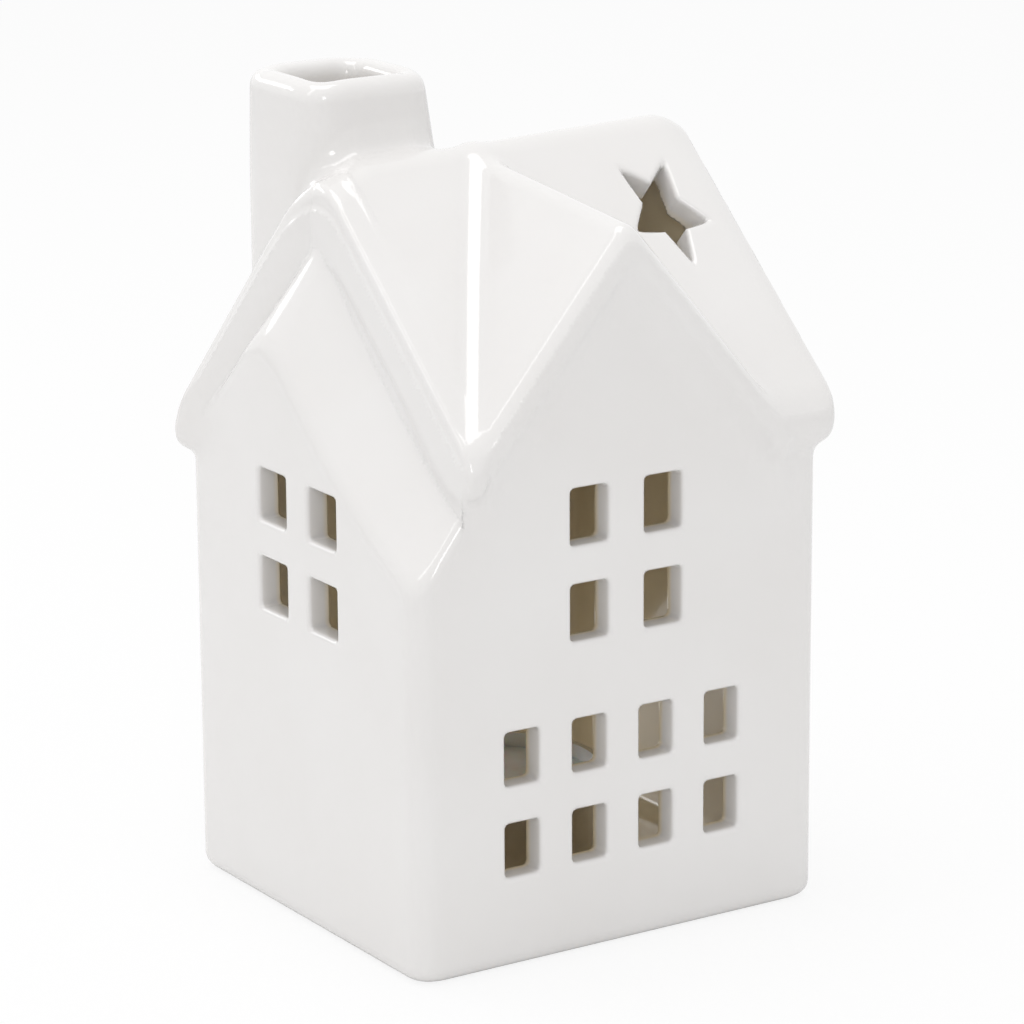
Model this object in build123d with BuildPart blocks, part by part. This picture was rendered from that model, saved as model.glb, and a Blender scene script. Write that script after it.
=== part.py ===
"""Tealight house: a slip-cast, glazed ceramic house that glows through its windows.

The house is one hollow casting with an open flue, window holes, a star hole in the
roof and an arched opening at the back, through which a tealight slides in and out.
Frame: +Z up, the front faces -Y, the origin is under the middle of the base.
"""
import os
from math import cos, pi, sin, sqrt

from build123d import *

os.makedirs("parts", exist_ok=True)

# Driving dimensions, in millimetres

# Walls and base
house_width = 80.0
house_depth = 74.0
wall = 4.0
floor_thickness = 4.5
corner_radius = 3.5
base_radius = 2.5
inner_corner_radius = 3.0
foot_width = 5.0
foot_recess = 1.0

# Main roof, whose ridge runs along X and climbs a little to the right
ridge_y = 8.5
ridge_height = 129.0
ridge_climb = 2.6
front_slope_foot = 89.5
back_slope_foot = 84.5
roof_thickness = 5.0
roof_band = 11.0
ridge_radius = 5.0
eave_overhang = 2.0
eave_edge = 5.5
eave_cove = 5.0
eave_radius = 2.6
verge_overhang = 2.0
verge_inset = 9.0
verge_radius = 2.2
right_verge_radius = 2.2

# Left wing, whose roof runs on below the left verge of the main roof
wing_front_height = 66.8
wing_peak_y = 11.0
wing_peak_height = 99.0
wing_back_height = 74.5
wing_sag = 2.2
wing_crease_front = 81.0
wing_crease_y = 7.0
wing_crease_peak = 115.0
wing_roof_thickness = 4.0
wing_edge_radius = 2.2

# Back slope's left corner, whose verge slants out over the wing toward the back eave
corner_flare = 11.0
corner_band = 26.0

# Cross gable over the middle of the front
gable_apex_height = 123.2
gable_inset = 11.5
gable_proud = 2.0
gable_lip = 2.0
gable_soffit = 4.7
gable_apex_radius = 3.5
gable_edge_radius = 1.6

# Chimney, flush with the back wall
chimney_width = 24.7
chimney_depth = 24.8
chimney_height = 139.5
chimney_inset = 2.3
chimney_radius = 4.5
chimney_rim_radius = 2.0
chimney_seat_radius = 4.0
flue_width = 15.6
flue_depth = 15.6
flue_radius = 2.0

# Windows: width and height, distances between centres, and the middle of each group of holes
upper_window_size = (7.4, 9.6)
upper_window_pitch = (14.5, 16.1)
upper_window_middle = (0.7, 66.7)
lower_window_size = (6.7, 9.2)
lower_window_pitch = (13.2, 15.6)
lower_window_middle = (0.0, 28.2)
side_window_size = (9.0, 8.9)
side_window_pitch = (16.1, 15.3)
side_window_middle = (0.3, 64.9)
window_radius = 0.9
window_edge_chamfer = 0.5

# Star hole in the front slope, drawn out along the slope
star_inset = 11.6
star_y = -7.6
star_half_width = 8.0
star_half_length = 12.1

# Arched opening in the back wall
opening_width = 46.0
opening_height = 38.0

# Tealight
cup_diameter = 38.5
cup_height = 15.5
cup_wall = 0.4
cup_lip = 0.8
wax_height = 12.5
wax_dish_width = 9.0
wax_dish_depth = 1.0
sustainer_diameter = 13.0
sustainer_plate = 0.4
sustainer_tube_diameter = 3.2
sustainer_tube_height = 3.6
wick_diameter = 1.6
wick_height = 18.0
tealight_y = 3.0

# Cutters run this far past the faces that they open
overrun = 2.0

# Shares and counts
star_points = 5
star_inner_share = 0.45
window_columns = 2
window_rows = 2
lower_window_columns = 4

# Planes and slopes that several features follow
half_width = house_width / 2
half_depth = house_depth / 2
inner_half_width = half_width - wall
inner_half_depth = half_depth - wall
left_verge = verge_inset - half_width
right_verge = half_width + verge_overhang
chimney_x = left_verge + chimney_inset + chimney_width / 2
star_x = half_width - star_inset
eave_y = half_depth + eave_overhang
gable_front = half_depth + gable_proud
gable_half_width = half_width - gable_inset
gable_pitch = (gable_apex_height - front_slope_foot) / gable_half_width
gable_length = ridge_y + gable_front


def ridge(x):
    """Height of the main ridge at the place x."""
    return ridge_height + ridge_climb * (x - left_verge) / (right_verge - left_verge)


def front_pitch(x):
    """Rise over run of the front slope, whose foot is level along the house."""
    return (ridge(x) - front_slope_foot) / (half_depth + ridge_y)


def back_pitch(x):
    """Rise over run of the back slope, whose foot is level along the house."""
    return (ridge(x) - back_slope_foot) / (half_depth - ridge_y)


def front_slope(x, y):
    """Height of the main roof's front slope."""
    return ridge(x) - front_pitch(x) * (ridge_y - y)


def back_slope(x, y):
    """Height of the main roof's back slope."""
    return ridge(x) - back_pitch(x) * (y - ridge_y)


gable_climb = (ridge(0) - gable_apex_height) / gable_length


def in_upper_band(edge):
    """Whether an edge lies in the upper half of the main roof's band."""
    place = edge.center()
    top = min(front_slope(place.X, place.Y), back_slope(place.X, place.Y))
    return place.Z > top - roof_band / 2


def upright(thickness, pitch):
    """Upright depth of a slab that measures thickness square to its slope."""
    return thickness * sqrt(1 + pitch**2)


def house_section(x, bottom, side, front_drop, back_drop):
    """Cross-section of the house at x, whose top lies below the slopes by two upright drops."""
    peak_y = ridge_y + (front_drop - back_drop) / (front_pitch(x) + back_pitch(x))
    with BuildSketch(Plane.YZ.offset(x)) as section:
        Polygon(
            (-side, bottom),
            (side, bottom),
            (side, back_slope(x, side) - back_drop),
            (peak_y, front_slope(x, peak_y) - front_drop),
            (-side, front_slope(x, -side) - front_drop),
            align=None,
        )
    return section.sketch.face()


def band_section(x):
    """Cross-section of the main roof's band at x, with rounded ridge and eaves."""
    front_top = front_slope(x, -eave_y)
    back_top = back_slope(x, eave_y)
    with BuildSketch(Plane.YZ.offset(x)) as section:
        Polygon(
            (-eave_y, front_top),
            (ridge_y, ridge(x)),
            (eave_y, back_top),
            (eave_y, back_top - eave_edge),
            (half_depth, back_top - eave_edge - eave_cove),
            (ridge_y, ridge(x) - roof_band),
            (-half_depth, front_top - eave_edge - eave_cove),
            (-eave_y, front_top - eave_edge),
            align=None,
        )
        fillet(vertices().filter_by(lambda point: abs(point.X) > half_depth), eave_radius)
        fillet(vertices().sort_by(Axis.Y)[-1], ridge_radius)
    return section.sketch.face()


def wing_section(x_place, bottom, side, front_height, peak_y, peak_height, back_height, sag):
    """Cross-section of the wing at x_place: a gable whose front slope sags a little."""
    half_way = (peak_y - side) / 2
    sagged = (front_height + peak_height) / 2 - sag
    with BuildSketch(Plane.YZ.offset(x_place)) as section:
        with BuildLine():
            Polyline(
                (-side, front_height),
                (-side, bottom),
                (side, bottom),
                (side, back_height),
                (peak_y, peak_height),
            )
            ThreePointArc((peak_y, peak_height), (half_way, sagged), (-side, front_height))
        make_face()
    return section.sketch.face()


def corner_section(x):
    """Cross-section of the back slope's left corner at x, from the ridge to the back eave."""
    eave_top = back_slope(x, eave_y)
    with BuildSketch(Plane.YZ.offset(x)) as section:
        Polygon(
            (ridge_y, ridge(x)),
            (eave_y, eave_top),
            (eave_y, eave_top - eave_edge),
            (half_depth, eave_top - eave_edge - eave_cove),
            (ridge_y, ridge(x) - corner_band),
            align=None,
        )
    return section.sketch.face()


def gable_section(y, foot_width):
    """Cross-section of the cross gable's two slopes at y, where its band's foot is this wide."""
    top = gable_apex_height + gable_climb * (y + gable_front)
    foot_half_width = gable_half_width + gable_proud
    foot_top = top - gable_pitch * foot_half_width
    foot_bottom = foot_top - eave_edge
    band_foot = foot_half_width - foot_width
    with BuildSketch(Plane.XZ.offset(-y)) as section:
        Polygon(
            (0, top),
            (foot_half_width, foot_top),
            (foot_half_width, foot_bottom),
            (band_foot, foot_bottom),
            (0, foot_bottom + gable_pitch * band_foot),
            (-band_foot, foot_bottom),
            (-foot_half_width, foot_bottom),
            (-foot_half_width, foot_top),
            align=None,
        )
        fillet(vertices().sort_by(Axis.Y)[-1], gable_apex_radius)
    return section.sketch.face()


def in_upper_gable(edge):
    """Whether an edge lies in the upper part of the cross gable's band."""
    place = edge.center()
    return place.Z > gable_apex_height - gable_pitch * abs(place.X) - eave_edge


# Walls of the main house and the wing, closed above inside the roof's band
with BuildPart() as walls:
    under_roof = roof_band / 2
    wall_top = house_section(left_verge, 0, half_depth, under_roof, under_roof)
    extrude(wall_top, amount=half_width - left_verge)
    wing_end = wing_section(
        -half_width, 0, half_depth,
        wing_front_height, wing_peak_y, wing_peak_height, wing_back_height, wing_sag,
    )
    wing_crease = wing_section(
        left_verge, 0, half_depth,
        wing_crease_front, wing_crease_y, wing_crease_peak, wing_back_height, wing_sag / 10,
    )
    loft([wing_end, wing_crease], ruled=True)
    with BuildSketch(Plane.XZ.offset(half_depth)):
        Polygon(
            (-gable_half_width, 0),
            (gable_half_width, 0),
            (gable_half_width, front_slope_foot - under_roof),
            (0, gable_apex_height - under_roof),
            (-gable_half_width, front_slope_foot - under_roof),
            align=None,
        )
    extrude(amount=-half_depth - ridge_y)
    corners = edges().filter_by(Axis.Z)
    fillet(corners.filter_by(lambda edge: abs(edge.center().X) > inner_half_width), corner_radius)
    fillet(edges().group_by(Axis.Z)[0], base_radius)
    wing_top = faces().filter_by(GeomType.BSPLINE).sort_by(Axis.Y)[0]
    wing_edges = wing_top.edges().filter_by(lambda edge: edge.center().X < left_verge)
    fillet(wing_edges, wing_edge_radius)

# Main roof: a band under both slopes, with soft eaves and verges, cut back for the gable
with BuildPart() as main_roof:
    loft([band_section(left_verge), band_section(right_verge)], ruled=True)
    fillet(faces().sort_by(Axis.X)[0].edges().filter_by(in_upper_band), verge_radius)
    fillet(faces().sort_by(Axis.X)[-1].edges().filter_by(in_upper_band), right_verge_radius)
    with BuildSketch(Plane.XZ.offset(half_depth)):
        Rectangle(2 * gable_half_width, 2 * ridge_height)
    extrude(amount=2 * eave_overhang, mode=Mode.SUBTRACT)

# Back slope's left corner: its band, trimmed to the verge that slants out over the wing
with BuildPart() as roof_corner:
    corner_end = left_verge - corner_flare
    loft([corner_section(corner_end - overrun), corner_section(left_verge + overrun)], ruled=True)
    with BuildSketch():
        Polygon(
            (left_verge + overrun, ridge_y),
            (left_verge, ridge_y),
            (corner_end, eave_y),
            (left_verge + overrun, eave_y),
            align=None,
        )
    extrude(amount=2 * ridge_height, mode=Mode.INTERSECT)
    slant = faces().filter_by(lambda face: face.normal_at().X < -1 / 2)
    fillet(slant.edges().sort_by(SortBy.LENGTH)[-1], verge_radius)

# Cross gable: a band under its two slopes, which deepens from its proud lip to the wall
with BuildPart() as gable_roof:
    loft([gable_section(-gable_front, gable_lip), gable_section(-half_depth, gable_soffit)], ruled=True)
    loft([gable_section(-half_depth, gable_soffit), gable_section(ridge_y, gable_soffit)], ruled=True)
    fillet(faces().sort_by(Axis.Y)[0].edges().filter_by(in_upper_gable), gable_edge_radius)

# Chimney stack
with BuildPart() as chimney:
    chimney_y = half_depth - chimney_depth / 2
    stack_foot = back_slope(chimney_x, half_depth) - eave_edge
    with BuildSketch(Plane.XY.offset(stack_foot)):
        with Locations((chimney_x, chimney_y)):
            RectangleRounded(chimney_width, chimney_depth, chimney_radius)
    extrude(amount=chimney_height - stack_foot)
    fillet(faces().sort_by(Axis.Z)[-1].edges(), chimney_rim_radius)

# Hollow inside the house, which follows the outside, with the flue that leaves it upward
with BuildPart() as hollow:
    hollow_ends = []
    for x in (left_verge + wall, inner_half_width):
        front_drop = upright(roof_thickness, front_pitch(x))
        back_drop = upright(roof_thickness, back_pitch(x))
        hollow_ends.append(house_section(x, floor_thickness, inner_half_depth, front_drop, back_drop))
    loft(hollow_ends, ruled=True)

    # Under the wing's roof
    wing_run = left_verge + half_width
    wing_pitch = (wing_crease_front - wing_front_height) / wing_run
    wing_fall = (wing_peak_height - wing_front_height) / (wing_peak_y + half_depth)
    wing_drop = wing_roof_thickness * sqrt(1 + wing_pitch**2 + wing_fall**2)
    end_share = 1 - wall / wing_run
    crease_front = wing_crease_front + wing_fall * wall - wing_drop
    crease_peak = wing_crease_peak - wing_drop
    wing_back = wing_back_height - wall
    end_front = crease_front - end_share * (wing_crease_front - wing_front_height)
    end_peak = crease_peak - end_share * (wing_crease_peak - wing_peak_height)
    inner_end = wing_section(
        -inner_half_width, floor_thickness, inner_half_depth,
        end_front, wing_peak_y, end_peak, wing_back, wing_sag / 2,
    )
    inner_crease = wing_section(
        left_verge, floor_thickness, inner_half_depth,
        crease_front, wing_crease_y, crease_peak, wing_back, wing_sag / 4,
    )
    loft([inner_end, inner_crease], ruled=True)
    extrude(inner_crease, amount=wall + overrun)

    # Under the cross gable
    gable_drop = upright(roof_thickness, gable_pitch)
    gable_top = gable_apex_height - gable_drop
    gable_bottom = front_slope_foot - gable_drop
    gable_reach = (gable_top - gable_bottom) / gable_pitch
    with BuildSketch(Plane.XZ.offset(inner_half_depth)):
        Polygon((0, gable_top), (gable_reach, gable_bottom), (-gable_reach, gable_bottom), align=None)
    extrude(amount=ridge_y + inner_half_depth, dir=(0, 1, gable_climb))
    with BuildSketch(Plane.XY.offset(floor_thickness)):
        RectangleRounded(2 * inner_half_width, 2 * inner_half_depth, inner_corner_radius)
    extrude(amount=ridge_height, mode=Mode.INTERSECT)

    # Flue
    flue_foot = back_slope(chimney_x, inner_half_depth) - back_drop
    with BuildSketch(Plane.XY.offset(flue_foot)):
        with Locations((chimney_x, chimney_y)):
            RectangleRounded(flue_width, flue_depth, flue_radius)
    extrude(amount=chimney_height + overrun - flue_foot)

# The casting: walls, roofs and chimney in one, with the hollow and every hole cut
with BuildPart() as house:
    add(walls.part)
    add(main_roof.part)
    add(gable_roof.part)

    # The chimney's foot swells softly out of the roof
    bare_edges = edges()
    add(chimney.part)
    seat = (edges() - bare_edges).filter_by(GeomType.BSPLINE)
    fillet(seat, chimney_seat_radius)
    add(roof_corner.part)
    add(hollow.part, mode=Mode.SUBTRACT)

    # Windows in the front and the left wall
    with BuildSketch(Plane.XZ.offset(half_depth)):
        with Locations(upper_window_middle):
            with GridLocations(*upper_window_pitch, window_columns, window_rows):
                RectangleRounded(*upper_window_size, window_radius)
        with Locations(lower_window_middle):
            with GridLocations(*lower_window_pitch, lower_window_columns, window_rows):
                RectangleRounded(*lower_window_size, window_radius)
    extrude(amount=-wall - overrun, mode=Mode.SUBTRACT)
    with BuildSketch(Plane.YZ.offset(-half_width)):
        with Locations(side_window_middle):
            with GridLocations(*side_window_pitch, window_columns, window_rows):
                RectangleRounded(*side_window_size, window_radius)
    extrude(amount=wall + overrun, mode=Mode.SUBTRACT)

    # Soft outer edges round every window
    front_faces = faces().filter_by(lambda face: abs(face.center().Y + half_depth) < wall / 4)
    left_faces = faces().filter_by(lambda face: abs(face.center().X + half_width) < wall / 4)
    for outer_faces in (front_faces, left_faces):
        outer_wall = outer_faces.sort_by(SortBy.AREA)[-1]
        chamfer(outer_wall.inner_wires().edges(), window_edge_chamfer)

    # Star hole, square to the front slope
    slope = Plane(
        origin=(star_x, star_y, front_slope(star_x, star_y)),
        x_dir=(1, 0, (front_slope(star_x, star_y) - front_slope(0, star_y)) / star_x),
        z_dir=(0, -front_pitch(star_x), 1),
    )
    with BuildSketch(slope.offset(overrun)):
        tips = []
        for corner in range(2 * star_points):
            reach = star_inner_share if corner % 2 else 1
            turn = -pi / 2 + corner * pi / star_points
            tips.append((reach * star_half_width * cos(turn), reach * star_half_length * sin(turn)))
        Polygon(*tips, align=None)
    extrude(amount=-roof_thickness - 2 * overrun, mode=Mode.SUBTRACT)

    # Arched opening in the back wall, level with the floor inside
    arch_radius = opening_width / 2
    arch_height = opening_height - arch_radius
    with BuildSketch(Plane.XZ.offset(-half_depth - overrun)):
        with BuildLine():
            Polyline(
                (-arch_radius, arch_height),
                (-arch_radius, floor_thickness),
                (arch_radius, floor_thickness),
                (arch_radius, arch_height),
            )
            ThreePointArc((arch_radius, arch_height), (0, opening_height), (-arch_radius, arch_height))
        make_face()
    extrude(amount=wall + 2 * overrun, mode=Mode.SUBTRACT)

    # Bare foot round a shallow recess under the base
    with BuildSketch():
        RectangleRounded(house_width - 2 * foot_width, house_depth - 2 * foot_width, inner_corner_radius)
    extrude(amount=foot_recess, mode=Mode.SUBTRACT)
house.part.label = "house"
export_step(house.part, "parts/house.step")

# Tealight: a drawn cup with a small lip
with BuildPart() as cup:
    cup_radius = cup_diameter / 2
    with BuildSketch(Plane.XZ.offset(-tealight_y)):
        Polygon(
            (0, floor_thickness),
            (cup_radius - cup_lip, floor_thickness),
            (cup_radius - cup_lip, floor_thickness + cup_height - cup_wall),
            (cup_radius, floor_thickness + cup_height - cup_wall),
            (cup_radius, floor_thickness + cup_height),
            (cup_radius - cup_lip - cup_wall, floor_thickness + cup_height),
            (cup_radius - cup_lip - cup_wall, floor_thickness + cup_wall),
            (0, floor_thickness + cup_wall),
            align=None,
        )
    revolve(axis=Axis((0, tealight_y, 0), (0, 0, 1)))
cup.part.label = "tealight_cup"
export_step(cup.part, "parts/tealight_cup.step")

# Sustainer: a thin plate with a tube that grips the wick
with BuildPart() as sustainer:
    plate_height = floor_thickness + cup_wall
    with BuildSketch(Plane.XY.offset(plate_height)):
        with Locations((0, tealight_y)):
            Circle(sustainer_diameter / 2)
    extrude(amount=sustainer_plate)
    with BuildSketch(Plane.XY.offset(plate_height)):
        with Locations((0, tealight_y)):
            Circle(sustainer_tube_diameter / 2)
    extrude(amount=sustainer_tube_height)
    with BuildSketch(Plane.XY.offset(plate_height + sustainer_plate)):
        with Locations((0, tealight_y)):
            Circle(wick_diameter / 2)
    extrude(amount=sustainer_tube_height, mode=Mode.SUBTRACT)
sustainer.part.label = "wick_sustainer"
export_step(sustainer.part, "parts/wick_sustainer.step")

# Wick, which stands in the sustainer and ends in a soft tip
with BuildPart() as wick:
    with BuildSketch(Plane.XY.offset(plate_height + sustainer_plate)):
        with Locations((0, tealight_y)):
            Circle(wick_diameter / 2)
    extrude(amount=wick_height)
    fillet(edges().group_by(Axis.Z)[-1], wick_diameter / 4)
wick.part.label = "wick"
export_step(wick.part, "parts/wick.step")

# Wax, cast round the sustainer and the wick, with a shallow dish on top
with BuildPart() as wax:
    wax_radius = cup_radius - cup_lip - cup_wall
    wax_top = plate_height + wax_height
    with BuildSketch(Plane.XZ.offset(-tealight_y)):
        with BuildLine():
            Polyline(
                (0, wax_top - wax_dish_depth),
                (0, plate_height),
                (wax_radius, plate_height),
                (wax_radius, wax_top),
                (wax_dish_width, wax_top),
            )
            TangentArc((wax_dish_width, wax_top), (0, wax_top - wax_dish_depth), tangent=(-1, 0))
        make_face()
    revolve(axis=Axis((0, tealight_y, 0), (0, 0, 1)))
    add(sustainer.part, mode=Mode.SUBTRACT)
    add(wick.part, mode=Mode.SUBTRACT)
wax.part.label = "wax"
export_step(wax.part, "parts/wax.step")
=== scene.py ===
"""Looks of the tealight house: white glazed ceramic in plain soft studio light."""
import math

import bpy
import numpy as np
from mathutils import Matrix, Vector


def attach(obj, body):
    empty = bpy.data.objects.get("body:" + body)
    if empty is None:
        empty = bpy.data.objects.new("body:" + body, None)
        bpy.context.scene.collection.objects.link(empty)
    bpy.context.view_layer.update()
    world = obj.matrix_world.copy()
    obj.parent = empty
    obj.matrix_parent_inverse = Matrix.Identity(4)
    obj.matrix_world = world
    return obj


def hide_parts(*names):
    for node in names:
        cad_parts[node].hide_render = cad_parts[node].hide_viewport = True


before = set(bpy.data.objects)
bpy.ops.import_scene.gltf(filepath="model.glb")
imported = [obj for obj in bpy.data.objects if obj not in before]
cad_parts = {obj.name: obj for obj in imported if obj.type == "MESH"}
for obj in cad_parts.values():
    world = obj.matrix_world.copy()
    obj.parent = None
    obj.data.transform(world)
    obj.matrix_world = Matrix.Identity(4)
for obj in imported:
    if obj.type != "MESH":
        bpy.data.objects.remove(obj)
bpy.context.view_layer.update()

MM = 0.001

# Glaze: tones at two levels of the noise; cream tones of painted shade for the warm shade inside the
# house; and the depths below the outer surface, and the heights in the flue, where the white gives way
# to this painted shade
WHITE_TONES = [(0.3, (0.80, 0.783, 0.770)), (0.7, (0.825, 0.812, 0.802))]
PAINTED_SHADE_TONES = [(0.3, (0.92, 0.80, 0.58)), (0.7, (0.94, 0.83, 0.62))]
PAINTED_SHADE_START_DEPTH, PAINTED_SHADE_FULL_DEPTH = 2.9, 4.3
FLUE_PAINTED_SHADE_START, FLUE_PAINTED_SHADE_FULL = 0.136, 0.112

# Tealight
CUP_COLOUR, CUP_ROUGHNESS = (0.86, 0.86, 0.87), 0.28
SUSTAINER_COLOUR, SUSTAINER_ROUGHNESS = (0.72, 0.72, 0.71), 0.35
WAX_TONES = [(0.35, (0.86, 0.84, 0.78)), (0.65, (0.91, 0.90, 0.86))]
WICK_TONES = [(0.2, (0.70, 0.66, 0.58)), (0.8, (0.90, 0.88, 0.82))]
METAL_SHADE = 0.9


def socket(shader, name, value):
    """Sets one input of a shader node."""
    shader.inputs[name].default_value = value


def new_material(name):
    """An empty node material with its Principled shader."""
    material = bpy.data.materials.new(name)
    material.use_nodes = True
    nodes = material.node_tree.nodes
    return material, nodes, material.node_tree.links, nodes["Principled BSDF"]


def noise(nodes, links, coordinates, scale, detail=3.0, roughness=0.5):
    """A noise texture's node on the given coordinates."""
    texture = nodes.new("ShaderNodeTexNoise")
    socket(texture, "Scale", scale)
    socket(texture, "Detail", detail)
    socket(texture, "Roughness", roughness)
    links.new(coordinates, texture.inputs["Vector"])
    return texture


def ramp(nodes, links, value, stops):
    """A colour ramp's output over a value. Stops are (place, colour)."""
    node = nodes.new("ShaderNodeValToRGB")
    for index, (place, colour) in enumerate(stops):
        if index < 2:
            element = node.color_ramp.elements[index]
            element.position = place
        else:
            element = node.color_ramp.elements.new(place)
        element.color = (*colour, 1)
    links.new(value, node.inputs["Fac"])
    return node.outputs["Color"]


def bump(nodes, links, height, distance, strength, normal=None):
    """A bump node's normal from a height."""
    node = nodes.new("ShaderNodeBump")
    socket(node, "Distance", distance)
    socket(node, "Strength", strength)
    links.new(height, node.inputs["Height"])
    if normal is not None:
        links.new(normal, node.inputs["Normal"])
    return node.outputs["Normal"]


def glaze_and_painted_shade_material():
    """White glaze, a little uneven in tone and surface, with cream painted shade for the warm shade
    inside the house.
    """
    material, nodes, links, shader = new_material("glaze")
    place = nodes.new("ShaderNodeTexCoord").outputs["Object"]
    tone = noise(nodes, links, place, scale=30.0)
    outer = ramp(nodes, links, tone.outputs["Fac"], WHITE_TONES)
    # Cream tones of painted shade, standing for the warm shade inside the house
    inner = ramp(nodes, links, tone.outputs["Fac"], PAINTED_SHADE_TONES)
    # Depth below the outer surface sets how far the painted shade has taken over, so window reveals
    # turn cream toward the inside
    below = nodes.new("ShaderNodeAttribute")
    below.attribute_name = "depth"
    painted_shade_by_depth = nodes.new("ShaderNodeMapRange")
    painted_shade_by_depth.interpolation_type = "SMOOTHSTEP"
    socket(painted_shade_by_depth, "From Min", PAINTED_SHADE_START_DEPTH)
    socket(painted_shade_by_depth, "From Max", PAINTED_SHADE_FULL_DEPTH)
    links.new(below.outputs["Fac"], painted_shade_by_depth.inputs["Value"])
    colour = nodes.new("ShaderNodeMix")
    colour.data_type = "RGBA"
    height = nodes.new("ShaderNodeSeparateXYZ")
    links.new(place, height.inputs[0])
    # Painted shade is held back near the top of the chimney and full further down the flue
    painted_shade_down_flue = nodes.new("ShaderNodeMapRange")
    socket(painted_shade_down_flue, "From Min", FLUE_PAINTED_SHADE_START)
    socket(painted_shade_down_flue, "From Max", FLUE_PAINTED_SHADE_FULL)
    links.new(height.outputs["Z"], painted_shade_down_flue.inputs["Value"])
    # The white gives way to painted shade where the surface is both deep in the wall and below the
    # flue's mouth
    painted_shade_share = nodes.new("ShaderNodeMath")
    painted_shade_share.operation = "MULTIPLY"
    links.new(painted_shade_by_depth.outputs[0], painted_shade_share.inputs[0])
    links.new(painted_shade_down_flue.outputs[0], painted_shade_share.inputs[1])
    links.new(painted_shade_share.outputs[0], colour.inputs["Factor"])
    links.new(outer, colour.inputs["A"])
    links.new(inner, colour.inputs["B"])
    links.new(colour.outputs["Result"], shader.inputs["Base Color"])
    waves = noise(nodes, links, place, scale=45.0, detail=1.0)
    ripple = noise(nodes, links, place, scale=420.0, detail=2.0)
    broad = bump(nodes, links, waves.outputs["Fac"], distance=0.0006, strength=0.35)
    fine = bump(nodes, links, ripple.outputs["Fac"], distance=0.00005, strength=0.3, normal=broad)
    links.new(fine, shader.inputs["Normal"])
    socket(shader, "Roughness", 0.12)
    socket(shader, "IOR", 1.5)
    socket(shader, "Coat Weight", 0.6)
    socket(shader, "Coat Roughness", 0.04)
    return material


def metal_material(name, colour, roughness):
    """Thin pressed metal with fine drawing marks."""
    material, nodes, links, shader = new_material(name)
    place = nodes.new("ShaderNodeTexCoord").outputs["Object"]
    stretch = nodes.new("ShaderNodeMapping")
    socket(stretch, "Scale", (1, 1, 0.08))
    links.new(place, stretch.inputs["Vector"])
    marks = noise(nodes, links, stretch.outputs["Vector"], scale=2400.0, detail=2.0)
    cloud = noise(nodes, links, place, scale=160.0)
    darker = tuple(METAL_SHADE * channel for channel in colour)
    tone = ramp(nodes, links, cloud.outputs["Fac"], [(0.35, darker), (0.65, colour)])
    links.new(tone, shader.inputs["Base Color"])
    relief = bump(nodes, links, marks.outputs["Fac"], distance=0.00004, strength=0.4)
    links.new(relief, shader.inputs["Normal"])
    socket(shader, "Metallic", 1.0)
    socket(shader, "Roughness", roughness)
    return material


def wax_material():
    """Milky paraffin wax with a faint bloom."""
    material, nodes, links, shader = new_material("wax")
    place = nodes.new("ShaderNodeTexCoord").outputs["Object"]
    bloom = noise(nodes, links, place, scale=260.0, detail=4.0)
    links.new(ramp(nodes, links, bloom.outputs["Fac"], WAX_TONES), shader.inputs["Base Color"])
    relief = bump(nodes, links, bloom.outputs["Fac"], distance=0.00006, strength=0.4)
    links.new(relief, shader.inputs["Normal"])
    socket(shader, "Subsurface Weight", 0.5)
    socket(shader, "Subsurface Scale", 0.004)
    socket(shader, "Roughness", 0.38)
    return material


def wick_material():
    """Waxed cotton with the twist of its braid."""
    material, nodes, links, shader = new_material("wick")
    place = nodes.new("ShaderNodeTexCoord").outputs["Object"]
    turned = nodes.new("ShaderNodeMapping")
    socket(turned, "Rotation", (0.6, 0.0, 0.0))
    links.new(place, turned.inputs["Vector"])
    braid = nodes.new("ShaderNodeTexWave")
    braid.bands_direction = "Z"
    socket(braid, "Scale", 700.0)
    socket(braid, "Distortion", 1.5)
    links.new(turned.outputs["Vector"], braid.inputs["Vector"])
    links.new(ramp(nodes, links, braid.outputs["Fac"], WICK_TONES), shader.inputs["Base Color"])
    relief = bump(nodes, links, braid.outputs["Fac"], distance=0.0001, strength=0.7)
    links.new(relief, shader.inputs["Normal"])
    socket(shader, "Roughness", 0.7)
    return material


# Shape of the casting, in millimetres, as a field that is negative in the clay.
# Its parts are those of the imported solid, and they flow into each other as slip does.
# A blend is the difference between two fields below which they round into each other,
# and a cosine turns a height over a slope into the distance from it.

# Walls, floor and foot
HALF_WIDTH, HALF_DEPTH = 40.0, 37.0
WALL, FRONT_WALL, FLOOR = 4.3, 5.0, 4.5
CORNER_BLEND, INNER_CORNER_BLEND, FLOOR_BLEND, BASE_BLEND = 4.5, 4.0, 4.0, 3.0
RECESS_INSET, RECESS_DEPTH, RECESS_CORNER, RECESS_BLEND, FOOT_BLEND = 5.0, 1.0, 3.0, 0.6, 0.8

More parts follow.
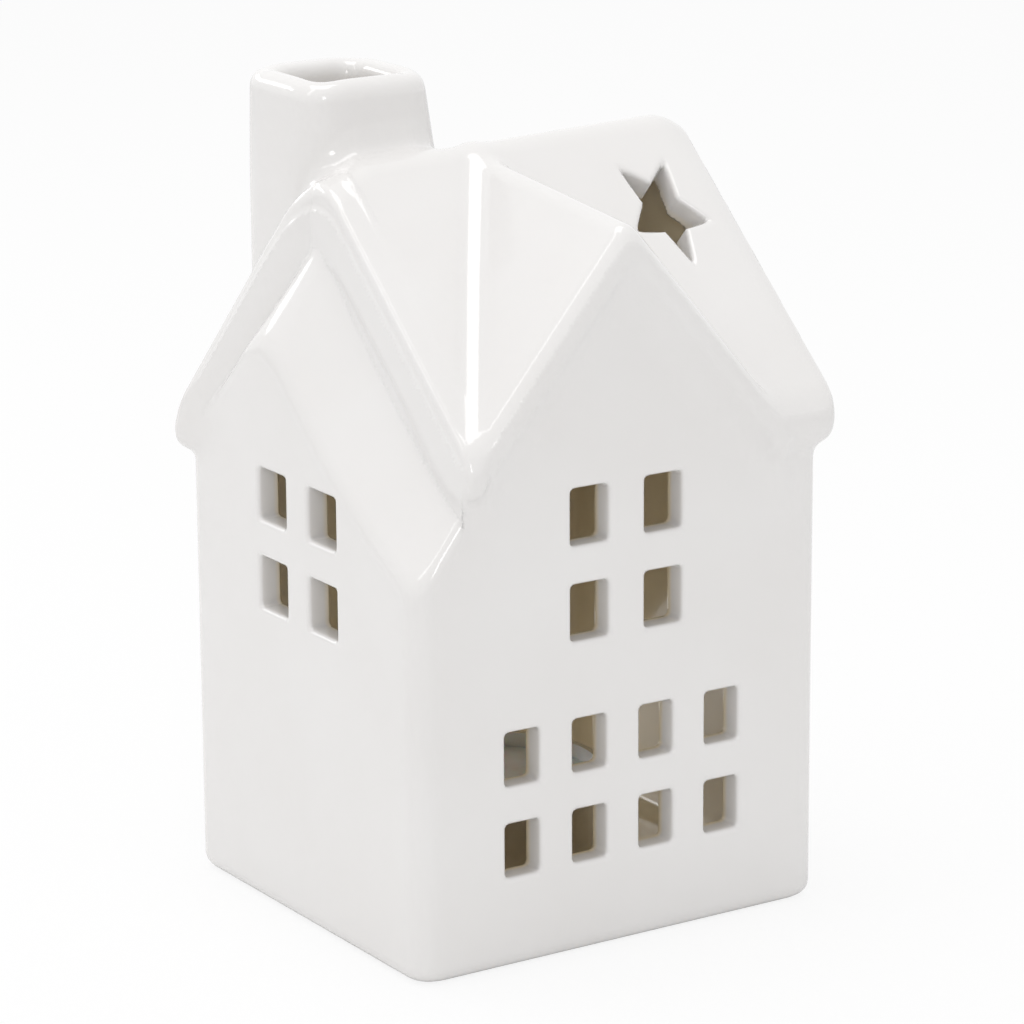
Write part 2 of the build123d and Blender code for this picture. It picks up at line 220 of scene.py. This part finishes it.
# Main roof
LEFT_VERGE, RIGHT_VERGE, EAVE_Y = -31.0, 42.0, 39.0
RIDGE_Y, RIDGE_HEIGHT, RIDGE_CLIMB = 8.5, 129.0, 2.6
FRONT_FOOT, BACK_FOOT = 89.5, 84.5
FRONT_COSINE, BACK_COSINE = 0.747, 0.535
RIDGE_BLEND, LEFT_RIDGE_BLEND, LEFT_RIDGE_RUN = 6.0, 6.0, 9.0
ROOF_COVER = 3.0
BAND_DEPTH, BAND_BLEND = 7.9, 3.0
FRONT_EAVE_FOOT, BACK_EAVE_FOOT, EAVE_BLEND = 81.4, 75.0, 3.2
RIGHT_BLEND, RIGHT_PEAK_BLEND, RIGHT_PEAK_FROM, RIGHT_PEAK_RUN = 3.0, 4.0, 90.0, 35.0
ROOF_CUT_INSET, ROOF_CUT_RUN, ROOF_CUT_SLOPE, ROOF_CUT_BLEND = 1, 4, 1.5, 1

# Left verge, which flares out toward the back corner and hangs deeper there
CORNER_FLARE, FLARE_COSINE, FLARE_RUN = 11.0, 0.94, 9.0
CORNER_DEPTH, CORNER_INSET, CORNER_RUN = 8.0, 2.0, 4.0
VERGE_BLEND, BACK_VERGE_BLEND, BACK_VERGE_START, BACK_VERGE_RUN = 1.2, 2.0, 4.0, 12.0

# Cross gable and the rake along its front
GABLE_Y, GABLE_TOP, GABLE_HALF_WIDTH, GABLE_COSINE = 39.0, 123.2, 28.5, 0.645
GABLE_PITCH = (GABLE_TOP - FRONT_FOOT) / GABLE_HALF_WIDTH
GABLE_DIP, GABLE_BLEND, GABLE_COVER = 2.0, 4.0, 3.5
GABLE_END, GABLE_END_BLEND = 2.0, 3.0
RAKE_BEVEL, RAKE_FACE, RAKE_BLEND = 1.5, 3.8, 0.9
SOFFIT_LEAD, SOFFIT_RUN, SOFFIT_BLEND = 2.0, 2.5, 1.0
VALLEY_BLEND = 2.6

# Wing: heights of its roof at its outer wall, and how much more they are at the verge
WING_FOOT, WING_PEAK, WING_BACK = 65.4, 99, 74.5
WING_FOOT_CLIMB, WING_PEAK_CLIMB = 11.5, 16
WING_PEAK_Y, WING_PEAK_SHIFT = 11, 4
WING_FRONT_COSINE, WING_BACK_COSINE = 0.48, 0.55
WING_SAG, WING_BLEND, CREST_BLEND, OUTER_CREST_BLEND = 2.2, 1.4, 3, 4
LIFT, OUTER_LIFT, LIFT_START, LIFT_RUN = 0.9, 1.7, 15, 26
WING_LAP, FRONT_LAP = 3, 1
GROOVE_BLEND, FRONT_GROOVE_BLEND, GROOVE_START, GROOVE_RUN = 1.4, 2.8, 1, 4

# Chimney
CHIMNEY_MIDDLE, CHIMNEY_HALF, CHIMNEY_TOP = (-16.35, 24.6), (12.35, 12.4), 140.3
CHIMNEY_CORNER, RIM_BLEND, CHIMNEY_ROOT = 7, 3.8, 6
CHIMNEY_FLARE, FLARE_BELOW, FLARE_HEIGHT = 0.16, 3, 14
FLARE_SIDE, FLARE_LEAST = 6, 0.15
SEAT_BLEND, SEAT_SWELL, SEAT_SWELL_START, SEAT_SWELL_RUN = 3, 3, 1, 9
SEAT_EASE, SEAT_EASE_X, SEAT_EASE_RUN = 2, 10, 5

# Hollow and flue
ROOF_THICKNESS, HOLLOW_BLEND, HOLLOW_RIDGE_BLEND, GABLE_RIDGE_BLEND = 5, 3, 4, 3
WING_THICKNESS, INNER_WING_SAG, INNER_WING_LAP, HOLLOW_VALLEY = 8.2, 1.1, 8, 2
FLUE_HALF, FLUE_CORNER, FLUE_ROOT = 7.8, 4, 12
INNER_EDGE, FLUE_EDGE, FLUE_EDGE_DEPTH, FLUE_EDGE_RUN = 0.8, 2.4, 9, 5

# Windows and arch: half sizes, pitches and middles
UPPER_HALF, UPPER_PITCH, UPPER_MIDDLE = (3.7, 4.8), (7.25, 8.05), (0.7, 66.7)
LOWER_HALF, LOWER_COLUMNS, LOWER_PITCH, LOWER_MIDDLE = (3.35, 4.6), (-19.8, -6.6, 6.6, 19.8), 7.8, 28.2
SIDE_HALF, SIDE_PITCH, SIDE_MIDDLE = (4.5, 4.45), (8.05, 7.65), (0.3, 64.9)
WINDOW_CORNER, HOLE_OVERRUN = 1.0, 2
ARCH_SPRING, ARCH_RADIUS, ARCH_SILL_BLEND = 15, 23, 1.5
HOLE_EDGE, INNER_HOLE_EDGE, HOLE_EDGE_START, HOLE_EDGE_RUN = 0.9, 0.5, 1, 1.5

# Star, cut square to the front slope
STAR_X, STAR_Y, STAR_HALF_WIDTH, STAR_HALF_LENGTH = 28.4, -7.6, 8.0, 12.1
STAR_INNER, STAR_ROUNDING, STAR_SIZE = 0.45, 0.04, 9.0
STAR_SINK, STAR_CUT = 2.5, 8

# Mesh: the size of a cell, and the space that its grid leaves round the casting
CELL = 0.6
GRID_LOW, GRID_HIGH = 1.13, 1
GRID_LEFT = 3.13
SETTLE_ROUNDS, SETTLE_STEP, SETTLE_REACH, LEAST_SLOPE = 3, 0.05, 0.6, 0.05


def soft_min(a, b, k):
    """The lower of two fields, blended where they differ by less than k."""
    near = np.maximum(k - np.abs(a - b), 0)
    return np.minimum(a, b) - near * near / (4 * k)


def soft_max(a, b, k):
    """The higher of two fields, blended where they differ by less than k."""
    return -soft_min(-a, -b, k)


def share_past(a, b, run):
    """How far a is past b, as a share of a run, from 0 to 1."""
    return np.clip((a - b) / run, 0, 1)


def ridge(x):
    """Height of the main ridge."""
    return RIDGE_HEIGHT + RIDGE_CLIMB * (x - LEFT_VERGE) / (RIGHT_VERGE - LEFT_VERGE)


def front_slope(x, y):
    """Height of the main roof's front slope."""
    return ridge(x) - (ridge(x) - FRONT_FOOT) / (HALF_DEPTH + RIDGE_Y) * (RIDGE_Y - y)


def back_slope(x, y):
    """Height of the main roof's back slope."""
    return ridge(x) - (ridge(x) - BACK_FOOT) / (HALF_DEPTH - RIDGE_Y) * (y - RIDGE_Y)


def main_slopes(x, y, z, k):
    """Distance above the main roof, with a ridge as soft as k."""
    front = (z - front_slope(x, y)) * FRONT_COSINE
    behind = (z - back_slope(x, y)) * BACK_COSINE
    return soft_max(front, behind, k)


def gable_slopes(x, y, z, k):
    """Distance above the cross gable's roof."""
    climb = (ridge(0) - GABLE_DIP - GABLE_TOP) / (RIDGE_Y + GABLE_Y)
    over = z - GABLE_TOP - climb * (y + GABLE_Y)
    left, right = over - GABLE_PITCH * x, over + GABLE_PITCH * x
    return soft_max(right, left, k / GABLE_COSINE) * GABLE_COSINE


def wing_slopes(x, y, z, drop, sag, k):
    """Distance above the wing's roof, lowered by a drop."""
    share = np.clip((x + HALF_WIDTH) / (LEFT_VERGE + HALF_WIDTH), 0, 1.5)
    front = WING_FOOT + WING_FOOT_CLIMB * share
    peak = WING_PEAK + WING_PEAK_CLIMB * share
    peak_y = WING_PEAK_Y - WING_PEAK_SHIFT * share
    run = (y + HALF_DEPTH) / (peak_y + HALF_DEPTH)
    front_height = front + (peak - front) * run - 4 * sag * run * (1 - run)
    back_height = peak + (WING_BACK - peak) * (y - peak_y) / (HALF_DEPTH - peak_y)
    front_over = (z - front_height + drop) * WING_FRONT_COSINE
    back_over = (z - back_height + drop) * WING_BACK_COSINE
    return soft_max(front_over, back_over, k)


def box(x, y, half_x, half_y, k):
    """An upright prism's field."""
    return soft_max(np.abs(x) - half_x, np.abs(y) - half_y, k)


def main_roof(x, y, z, over_main, past_verge, toward_back):
    """Field of the main roof's band, which is cut level under its eaves."""
    at_corner = share_past(LEFT_VERGE + CORNER_INSET, x, CORNER_RUN) * (y > RIDGE_Y)
    depth = BAND_DEPTH + CORNER_DEPTH * (1 - toward_back) * at_corner
    eave_foot = np.where(y < RIDGE_Y, FRONT_EAVE_FOOT, BACK_EAVE_FOOT)
    roof = soft_max(over_main, -over_main - depth, BAND_BLEND)
    roof = soft_max(roof, eave_foot - z, BAND_BLEND)
    roof = soft_max(roof, np.abs(y) - EAVE_Y, EAVE_BLEND)
    verge_swell = share_past(y, RIDGE_Y - BACK_VERGE_START, BACK_VERGE_RUN)
    roof = soft_max(roof, past_verge, VERGE_BLEND + BACK_VERGE_BLEND * verge_swell)
    peak_swell = share_past(z, RIGHT_PEAK_FROM, RIGHT_PEAK_RUN)
    roof = soft_max(roof, x - RIGHT_VERGE, RIGHT_BLEND + RIGHT_PEAK_BLEND * peak_swell)

    # The cross gable's own roof stands in front of this one
    within_gable = np.clip(GABLE_HALF_WIDTH - ROOF_CUT_INSET - np.abs(x), 0, ROOF_CUT_RUN)
    behind = HALF_DEPTH - ROOF_CUT_SLOPE * within_gable
    in_front = np.maximum(np.abs(x) - GABLE_HALF_WIDTH, y + behind)
    return soft_max(roof, -in_front, ROOF_CUT_BLEND)


def cross_gable(x, y, z, over_gable):
    """Field of the cross gable's roof, whose rake stands proud of the front wall."""
    bevel = (over_gable + RAKE_BEVEL - GABLE_Y - y) * math.sqrt(0.5)
    behind = np.clip(y + GABLE_Y, -SOFFIT_LEAD, SOFFIT_RUN)
    soffit = (-over_gable - RAKE_FACE - behind) * math.sqrt(0.5)
    gable = soft_max(soft_max(over_gable, bevel, RAKE_BLEND), soffit, SOFFIT_BLEND)
    gable = soft_max(gable, np.abs(x) - GABLE_HALF_WIDTH - GABLE_END, GABLE_END_BLEND)
    gable = soft_max(gable, -GABLE_Y - y, RAKE_BLEND)
    return np.maximum(gable, y - RIDGE_Y)


def wing_body(x, y, z, walls):
    """Field of the wing, whose crest is softer and higher toward its outer wall."""
    outward = np.clip((LEFT_VERGE - x) / (LEFT_VERGE + HALF_WIDTH), 0, 1)
    lift = (LIFT + OUTER_LIFT * outward) * share_past(y, -LIFT_START, LIFT_RUN) ** 2
    crest = CREST_BLEND + OUTER_CREST_BLEND * outward
    wing = soft_max(walls, wing_slopes(x, y, z, -lift, WING_SAG, crest), WING_BLEND)
    return np.maximum(wing, x - LEFT_VERGE - WING_LAP)


def chimney(x, y, z):
    """Field of the chimney's stack, which widens toward its foot on the ridge's side."""
    stack_x, stack_y = x - CHIMNEY_MIDDLE[0], y - CHIMNEY_MIDDLE[1]
    below = np.clip(CHIMNEY_TOP - FLARE_BELOW - z, 0, FLARE_HEIGHT)
    spread = CHIMNEY_FLARE * below * np.clip(stack_x / FLARE_SIDE, FLARE_LEAST, 1)
    stack = box(stack_x, stack_y, CHIMNEY_HALF[0] + spread, CHIMNEY_HALF[1], CHIMNEY_CORNER)
    stack = soft_max(stack, z - CHIMNEY_TOP, RIM_BLEND)
    return np.maximum(stack, back_slope(x, y) - CHIMNEY_ROOT - z)


def outside(x, y, z):
    """Field of the whole casting as a solid lump."""
    walls = box(x, y, HALF_WIDTH, HALF_DEPTH, CORNER_BLEND)
    near_verge = share_past(LEFT_VERGE + LEFT_RIDGE_RUN, x, LEFT_RIDGE_RUN)
    over_main = main_slopes(x, y, z, RIDGE_BLEND + LEFT_RIDGE_BLEND * near_verge)
    toward_back = share_past(y, RIDGE_Y, EAVE_Y - RIDGE_Y)
    squareness = np.where(y > RIDGE_Y, FLARE_COSINE, 1)
    past_verge = squareness * (LEFT_VERGE - CORNER_FLARE * toward_back - x)
    past_verge = past_verge - share_past(y, RIDGE_Y, FLARE_RUN)
    over_gable = gable_slopes(x, y, z, GABLE_BLEND)

    # Bodies under the roofs, each cut off where the roof over it hides the cut
    house = np.maximum(np.maximum(walls, over_main + ROOF_COVER), past_verge)
    sides = np.maximum(y - RIDGE_Y, LEFT_VERGE + FRONT_LAP - x)
    front = np.maximum(np.maximum(walls, over_gable + GABLE_COVER), sides)
    body = np.minimum(np.minimum(house, front), wing_body(x, y, z, walls))

    # Roofs, with a softer groove under them at the front than at the left
    roof = main_roof(x, y, z, over_main, past_verge, toward_back)
    gable = cross_gable(x, y, z, over_gable)
    groove_swell = share_past(x, LEFT_VERGE + GROOVE_START, GROOVE_RUN)
    groove = GROOVE_BLEND + FRONT_GROOVE_BLEND * groove_swell
    whole = soft_min(soft_min(roof, gable, VALLEY_BLEND), body, groove)

    # The chimney's seat swells most where it stands clear of the verge
    swell = SEAT_SWELL * share_past(x, LEFT_VERGE + SEAT_SWELL_START, SEAT_SWELL_RUN)
    ease = SEAT_EASE * share_past(x, -SEAT_EASE_X, SEAT_EASE_RUN)
    whole = soft_min(whole, chimney(x, y, z), SEAT_BLEND + swell - ease)
    return soft_max(whole, -z, BASE_BLEND)


def inside(x, y, z):
    """Field of the hollow, flue included."""
    walls = box(x, y, HALF_WIDTH - WALL, HALF_DEPTH - WALL, INNER_CORNER_BLEND)
    walls = np.maximum(walls, -HALF_DEPTH + FRONT_WALL - y)
    under_main = main_slopes(x, y, z, HOLLOW_RIDGE_BLEND) + ROOF_THICKNESS
    main = soft_max(walls, under_main, HOLLOW_BLEND)
    main = soft_max(main, LEFT_VERGE + WALL - x, HOLLOW_VALLEY)
    under_wing = wing_slopes(x, y, z, WING_THICKNESS, INNER_WING_SAG, HOLLOW_BLEND)
    wing = soft_max(walls, under_wing, HOLLOW_BLEND)
    wing = np.maximum(wing, x - LEFT_VERGE - INNER_WING_LAP)
    under_gable = gable_slopes(x, y, z, GABLE_RIDGE_BLEND) + ROOF_THICKNESS
    ends = np.maximum(-HALF_DEPTH + WALL - y, y - RIDGE_Y)
    gable = soft_max(soft_max(under_gable, ends, HOLLOW_BLEND), walls, HOLLOW_BLEND)
    gable = soft_max(gable, np.abs(x) - GABLE_HALF_WIDTH, HOLLOW_VALLEY)
    hollow = soft_min(soft_min(main, wing, HOLLOW_VALLEY), gable, HOLLOW_VALLEY)
    hollow = soft_max(hollow, FLOOR - z, FLOOR_BLEND)
    flue = box(x - CHIMNEY_MIDDLE[0], y - CHIMNEY_MIDDLE[1], FLUE_HALF, FLUE_HALF, FLUE_CORNER)
    flue = np.maximum(flue, back_slope(x, y) - FLUE_ROOT - z)
    return soft_min(hollow, flue, HOLLOW_VALLEY)


def window_grid(across, up, half, columns, rows):
    """Field of a grid of windows: columns and rows are the places of their middles."""
    field = None
    for column in columns:
        for row in rows:
            beside, over = np.abs(across - column) - half[0], np.abs(up - row) - half[1]
            hole = soft_max(beside, over, WINDOW_CORNER)
            field = hole if field is None else np.minimum(field, hole)
    return field


def around(middle, pitch):
    """Two places on either side of a middle."""
    return (middle - pitch, middle + pitch)


def star(x, y, z):
    """Field of the star hole, which is cut square to the front slope."""
    middle_z = front_slope(STAR_X, STAR_Y)
    pitch = front_slope(STAR_X, STAR_Y + 1) - middle_z
    level = 1 / math.hypot(1, pitch)
    across = (x - STAR_X) / STAR_HALF_WIDTH
    along = -((y - STAR_Y) + (z - middle_z) * pitch) * level / STAR_HALF_LENGTH
    above = ((z - middle_z) - (y - STAR_Y) * pitch) * level

    # One tenth of the star stands for all, with its tip at reach 1 and its edge from there
    turn = np.mod(np.arctan2(across, along) + math.pi / 5, 2 * math.pi / 5) - math.pi / 5
    reach = np.hypot(across, along)
    tip_x, tip_y = reach * np.cos(turn), np.hypot(reach * np.sin(turn), STAR_ROUNDING)
    edge_x, edge_y = STAR_INNER * math.cos(math.pi / 5) - 1, STAR_INNER * math.sin(math.pi / 5)
    length = math.hypot(edge_x, edge_y)
    field = ((tip_x - 1) * edge_y - tip_y * edge_x) / length * STAR_SIZE
    return np.maximum(field, np.abs(above + STAR_SINK) - STAR_CUT)


def holes(x, y, z):
    """Field of the windows, the star and the arched opening at the back."""
    upper_columns = around(UPPER_MIDDLE[0], UPPER_PITCH[0])
    upper_rows = around(UPPER_MIDDLE[1], UPPER_PITCH[1])
    upper = window_grid(x, z, UPPER_HALF, upper_columns, upper_rows)
    lower = window_grid(x, z, LOWER_HALF, LOWER_COLUMNS, around(LOWER_MIDDLE, LOWER_PITCH))
    reach = WALL + HOLE_OVERRUN
    front = np.maximum(np.minimum(upper, lower), np.abs(y + HALF_DEPTH) - reach)
    side_columns = around(SIDE_MIDDLE[0], SIDE_PITCH[0])
    side_rows = around(SIDE_MIDDLE[1], SIDE_PITCH[1])
    side = window_grid(y, z, SIDE_HALF, side_columns, side_rows)
    side = np.maximum(side, np.abs(x + HALF_WIDTH) - reach)
    round_top = np.hypot(x, z - ARCH_SPRING) - ARCH_RADIUS
    arch = np.where(z > ARCH_SPRING, round_top, np.abs(x) - ARCH_RADIUS)
    arch = soft_max(arch, FLOOR - z, ARCH_SILL_BLEND)
    arch = np.maximum(arch, np.abs(y - HALF_DEPTH) - reach)
    return np.minimum(np.minimum(front, side), np.minimum(arch, star(x, y, z)))


def casting(x, y, z):
    """Field of the casting: the lump less its hollow, its holes and the recess in its foot."""
    lip = INNER_EDGE + FLUE_EDGE * share_past(z, CHIMNEY_TOP - FLUE_EDGE_DEPTH, FLUE_EDGE_RUN)
    lump = outside(x, y, z)
    shell = soft_max(lump, -inside(x, y, z), lip)
    hole_edge = HOLE_EDGE - INNER_HOLE_EDGE * share_past(-lump, HOLE_EDGE_START, HOLE_EDGE_RUN)
    shell = soft_max(shell, -holes(x, y, z), hole_edge)
    half_x, half_y = HALF_WIDTH - RECESS_INSET, HALF_DEPTH - RECESS_INSET
    recess = soft_max(box(x, y, half_x, half_y, RECESS_CORNER), z - RECESS_DEPTH, RECESS_BLEND)
    return soft_max(shell, -recess, FOOT_BLEND)


def surface(field, low, high, cell):
    """Points and four-sided faces on a field's zero, by surface nets."""
    counts = [int(math.ceil((high[i] - low[i]) / cell)) + 1 for i in range(3)]
    axes = [(low[i] + cell * np.arange(counts[i])).astype(np.float32) for i in range(3)]
    values = field(axes[0][:, None, None], axes[1][None, :, None], axes[2][None, None, :])
    solid = values < 0
    corners = [(i, j, k) for i in (0, 1) for j in (0, 1) for k in (0, 1)]
    cells = [count - 1 for count in counts]

    def at(array, corner):
        return array[tuple(slice(corner[i], corner[i] + cells[i]) for i in range(3))]

    some = np.zeros(cells, bool)
    every = np.ones(cells, bool)
    for corner in corners:
        some |= at(solid, corner)
        every &= at(solid, corner)
    crossed = np.argwhere(some & ~every)
    number = np.full(cells, -1, np.int64)
    number[tuple(crossed.T)] = np.arange(len(crossed))

    total = np.zeros((len(crossed), 3))
    share = np.zeros(len(crossed))
    for first in corners:
        for axis in range(3):
            if first[axis]:
                continue
            second = list(first)
            second[axis] = 1
            a = values[tuple((crossed + first).T)]
            b = values[tuple((crossed + second).T)]
            cut = (a < 0) != (b < 0)
            along = np.where(cut, a / np.where(cut, a - b, 1), 0)
            point = np.tile(np.array(first, float), (len(crossed), 1))
            point[:, axis] += along
            total += point * cut[:, None]
            share += cut
    points = np.array(low) + cell * (crossed + total / share[:, None])

    faces = []
    for axis in range(3):
        one, two = (axis + 1) % 3, (axis + 2) % 3
        inner = [slice(0, counts[axis] - 1)] * 3
        inner[one] = slice(1, counts[one] - 1)
        inner[two] = slice(1, counts[two] - 1)
        ahead = list(inner)
        ahead[axis] = slice(1, counts[axis])
        change = solid[tuple(inner)] != solid[tuple(ahead)]
        place = np.argwhere(change)
        place[:, one] += 1
        place[:, two] += 1
        quad = []
        for step_one, step_two in ((-1, -1), (0, -1), (0, 0), (-1, 0)):
            near = place.copy()
            near[:, one] += step_one
            near[:, two] += step_two
            quad.append(number[tuple(near.T)])
        quad = np.stack(quad, axis=1)
        flip = ~solid[tuple(place.T)]
        quad[flip] = quad[flip][:, ::-1]
        faces.append(quad)
    return points, np.concatenate(faces)


def slope_of(field, points, step):
    """A field and its gradient at points."""
    value = field(*points.T)
    gradient = np.empty_like(points)
    for axis in range(3):
        shift = np.zeros(3)
        shift[axis] = step
        gradient[:, axis] = (field(*(points + shift).T) - field(*(points - shift).T)) / (2 * step)
    return value, gradient


def settle(field, points, cell, rounds):
    """Points moved onto the field's zero."""
    start = points.copy()
    reach = SETTLE_REACH * cell
    for _ in range(rounds):
        value, gradient = slope_of(field, points, SETTLE_STEP * cell)
        length = np.maximum((gradient**2).sum(axis=1), LEAST_SLOPE)
        points = points - gradient * (value / length)[:, None]
        points = start + np.clip(points - start, -reach, reach)
    return points


# House, drawn from the field
low = (-HALF_WIDTH - GRID_LEFT, -EAVE_Y - GRID_LOW, -GRID_LOW)
high = (RIGHT_VERGE + GRID_HIGH, EAVE_Y + GRID_HIGH, CHIMNEY_TOP + GRID_HIGH)
points, faces = surface(casting, low, high, CELL)
points = settle(casting, points, CELL, SETTLE_ROUNDS)
mesh = bpy.data.meshes.new("house_casting")
mesh.from_pydata((points * MM).tolist(), [], faces.tolist())
mesh.update()
# Depth below the outer surface, by which the glaze turns to painted shade inside
depth = mesh.attributes.new("depth", "FLOAT", "POINT")
depth.data.foreach_set("value", (-outside(*points.T)).astype(np.float32))
mesh.shade_smooth()
_, normals = slope_of(casting, points, SETTLE_STEP * CELL)
normals /= np.linalg.norm(normals, axis=1)[:, None]
mesh.normals_split_custom_set_from_vertices(normals.tolist())
casting_piece = bpy.data.objects.new("house_casting", mesh)
bpy.context.collection.objects.link(casting_piece)
casting_piece.data.materials.append(glaze_and_painted_shade_material())
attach(casting_piece, "house_body")
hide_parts("house")

# The tealight keeps its solids and gets its own finishes
for node, finish in (
    ("tealight_cup", metal_material("cup", CUP_COLOUR, CUP_ROUGHNESS)),
    ("wick_sustainer", metal_material("sustainer", SUSTAINER_COLOUR, SUSTAINER_ROUGHNESS)),
    ("wax", wax_material()),
    ("wick", wick_material()),
):
    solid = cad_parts[node]
    solid.data.materials.clear()
    solid.data.materials.append(finish)

# Floor and background, which stay out of the object
FLOOR_SIZE, FLOOR_GLOW = 6, 0.85
bpy.ops.mesh.primitive_plane_add(size=FLOOR_SIZE)
floor = bpy.context.object
floor.name = "floor"
floor_material, floor_nodes, floor_links, floor_shader = new_material("pale_floor")
socket(floor_shader, "Base Color", (0.9, 0.9, 0.9, 1))
socket(floor_shader, "Roughness", 0.9)
camera_ray = floor_nodes.new("ShaderNodeLightPath")
bright = floor_nodes.new("ShaderNodeEmission")
socket(bright, "Color", (1, 1, 1, 1))
mix = floor_nodes.new("ShaderNodeMixShader")
glow = floor_nodes.new("ShaderNodeMath")
glow.operation = "MULTIPLY"
glow.inputs[1].default_value = FLOOR_GLOW
floor_links.new(camera_ray.outputs["Is Camera Ray"], glow.inputs[0])
floor_links.new(glow.outputs[0], mix.inputs["Fac"])
floor_links.new(floor_shader.outputs[0], mix.inputs[1])
floor_links.new(bright.outputs[0], mix.inputs[2])
floor_links.new(mix.outputs[0], floor_nodes["Material Output"].inputs["Surface"])
floor.data.materials.append(floor_material)

# World: soft light all round, white where the camera, gloss and glass see it
WORLD_LIGHT, WORLD_SEEN = 0.8, 1.0
world = bpy.data.worlds.new("studio")
bpy.context.scene.world = world
world.use_nodes = True
world_nodes = world.node_tree.nodes
world_links = world.node_tree.links
background = world_nodes["Background"]
socket(background, "Color", (1, 1, 1, 1))
path = world_nodes.new("ShaderNodeLightPath")
seen = world_nodes.new("ShaderNodeMath")
seen.operation = "MAXIMUM"
seen_too = world_nodes.new("ShaderNodeMath")
seen_too.operation = "MAXIMUM"
world_links.new(path.outputs["Is Camera Ray"], seen.inputs[0])
world_links.new(path.outputs["Is Glossy Ray"], seen.inputs[1])
world_links.new(seen.outputs[0], seen_too.inputs[0])
world_links.new(path.outputs["Is Transmission Ray"], seen_too.inputs[1])
level = world_nodes.new("ShaderNodeMapRange")
socket(level, "To Min", WORLD_LIGHT)
socket(level, "To Max", WORLD_SEEN)
world_links.new(seen_too.outputs[0], level.inputs["Value"])
world_links.new(level.outputs[0], background.inputs["Strength"])


def softbox(name, place, aim, width, height, power):
    """An area light at a place, turned toward a point."""
    data = bpy.data.lights.new(name, "AREA")
    data.shape = "RECTANGLE"
    data.size = width
    data.size_y = height
    data.energy = power
    lamp = bpy.data.objects.new(name, data)
    bpy.context.collection.objects.link(lamp)
    lamp.location = place
    lamp.rotation_euler = (Vector(aim) - Vector(place)).to_track_quat("-Z", "Y").to_euler()
    return lamp


middle = (0, 0, 0.09)
softbox("top_light", (-0.07, 0.08, 0.8), middle, width=0.4, height=0.46, power=1.35)
softbox("left_light", (-0.54, 0.02, 0.66), middle, width=0.1, height=0.5, power=0.33)
softbox("front_light", (-0.39, -0.74, 0.42), middle, width=0.2, height=0.2, power=0.55)
softbox("back_light", (-0.25, 0.75, 0.36), middle, width=0.5, height=0.12, power=0.5)

# Camera at the photograph's angle. Its focal length and slides are in the frame's pixels
FRAME_PIXELS, FOCAL_PIXELS, RIGHT_PIXELS, UP_PIXELS = 1024, 4433, 11.2, 51.6
SENSOR, AIM_HEIGHT = 36, 75
azimuth = math.radians(32.83)
elevation = math.radians(15.27)
roll = math.radians(-0.357)
distance = 749.1 * MM
focal_share = FOCAL_PIXELS / FRAME_PIXELS
slide_right = RIGHT_PIXELS * distance / FOCAL_PIXELS
slide_up = UP_PIXELS * distance / FOCAL_PIXELS
back = Vector((
    -math.sin(azimuth) * math.cos(elevation),
    -math.cos(azimuth) * math.cos(elevation),
    math.sin(elevation),
))
level_right = Vector((math.cos(azimuth), -math.sin(azimuth), 0))
level_up = back.cross(level_right)
right = math.cos(roll) * level_right + math.sin(roll) * level_up
up = -math.sin(roll) * level_right + math.cos(roll) * level_up
camera_data = bpy.data.cameras.new("camera")
camera_data.sensor_width = SENSOR
camera_data.lens = SENSOR * focal_share
camera = bpy.data.objects.new("camera", camera_data)
bpy.context.collection.objects.link(camera)
place = Vector((0, 0, AIM_HEIGHT * MM)) + distance * back + slide_right * right - slide_up * up
camera.matrix_world = Matrix((
    (right.x, up.x, back.x, place.x),
    (right.y, up.y, back.y, place.y),
    (right.z, up.z, back.z, place.z),
    (0, 0, 0, 1),
))
bpy.context.scene.camera = camera
bpy.context.scene.view_settings.view_transform = "Standard"
